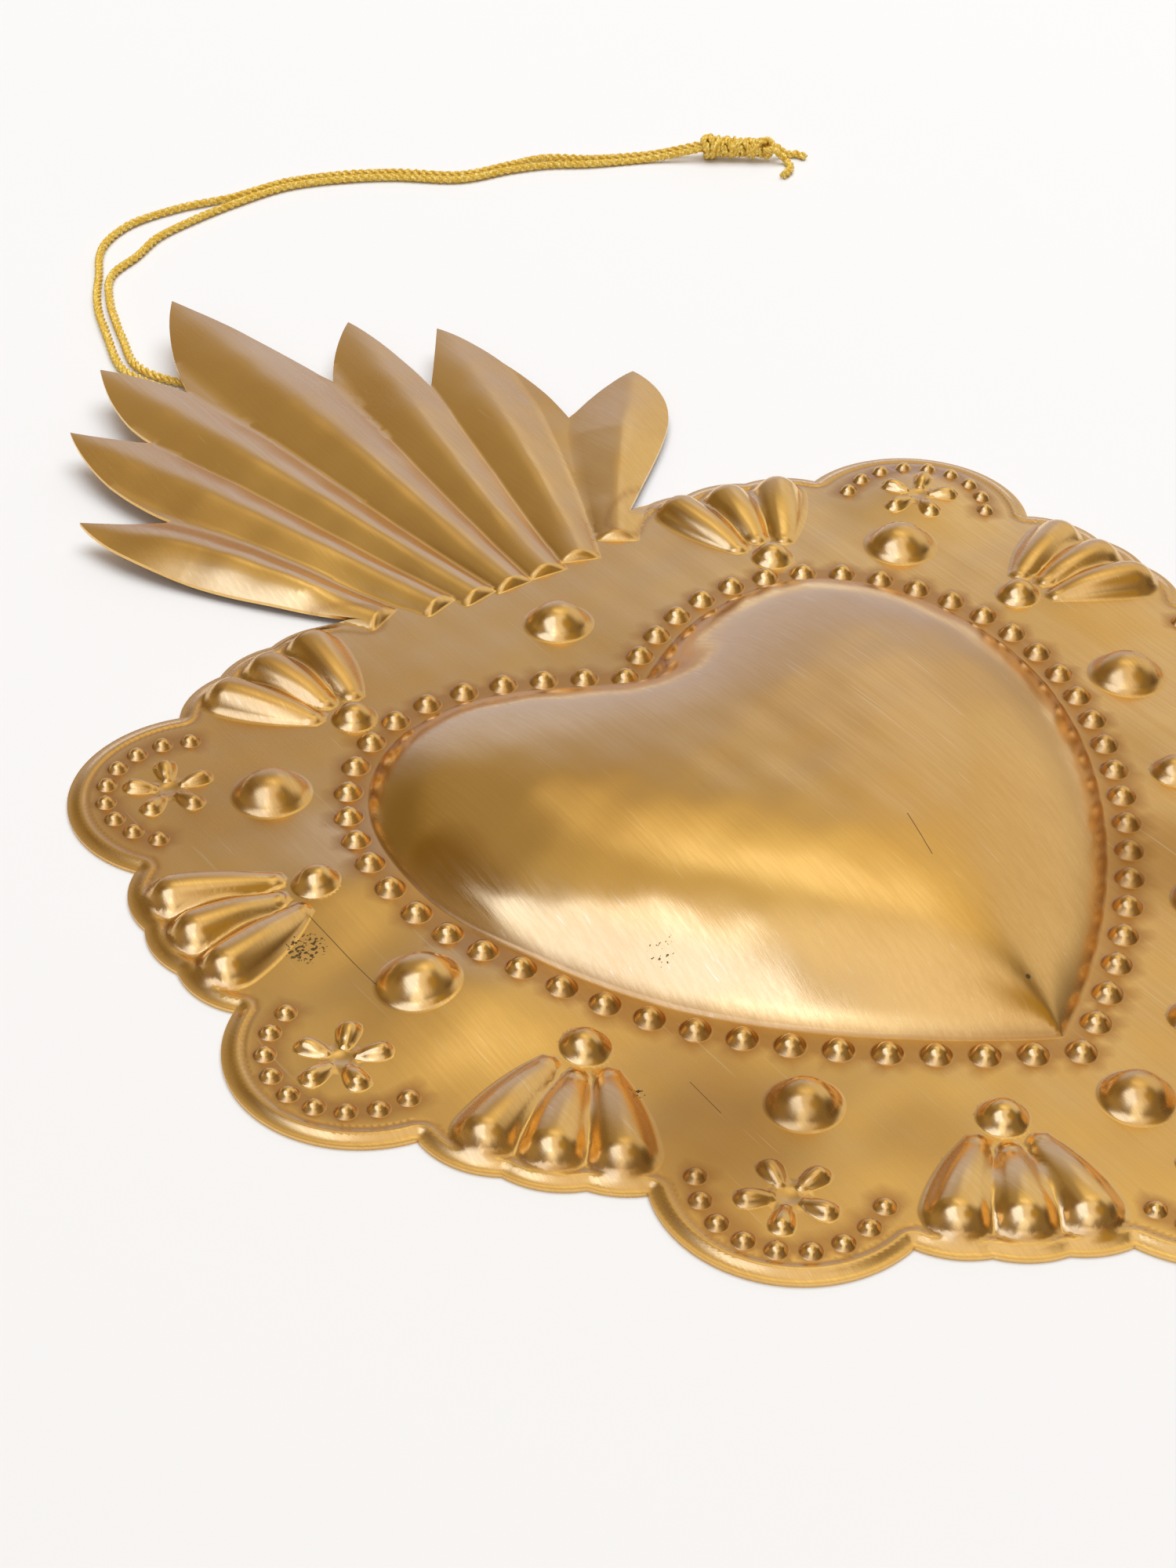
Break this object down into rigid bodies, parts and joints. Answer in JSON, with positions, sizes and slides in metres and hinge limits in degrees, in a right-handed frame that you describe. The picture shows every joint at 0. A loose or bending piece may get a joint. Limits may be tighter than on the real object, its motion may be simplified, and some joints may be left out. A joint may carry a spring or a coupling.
{
  "type": "sacred heart wall ornament",
  "caption": "Pressed brass votive heart with a domed centre, beaded outline, scalloped border and fluted flame, hung by a loop of gold twine on a wire eye.",
  "frame": {"origin": "middle of the brass sheet's length and width, on the surface that it lies on face up", "axes": "+Y from the heart's tip to the flame's tip, +Z out of the face, +X to the right of someone facing it"},
  "size_m": [0.2019, 0.2836, 0.0116],
  "materials": {
    "brass_sheet": "hand-brushed, lightly tarnished thin brass sheet",
    "brass_wire": "drawn brass wire, dull",
    "soft_solder": "dull grey soft solder",
    "gold_twine": "twisted gold metallic twine"
  },
  "bodies": {
    "root": {"heart_sheet": "brass_sheet", "hanging_eye": "brass_wire", "eye_solder_lower": "soft_solder", "eye_solder_upper": "soft_solder", "hanging_cord": "gold_twine", "cord_knot": "gold_twine", "cord_tail_front": "gold_twine", "cord_tail_rear": "gold_twine"}
  },
  "joints": []
}
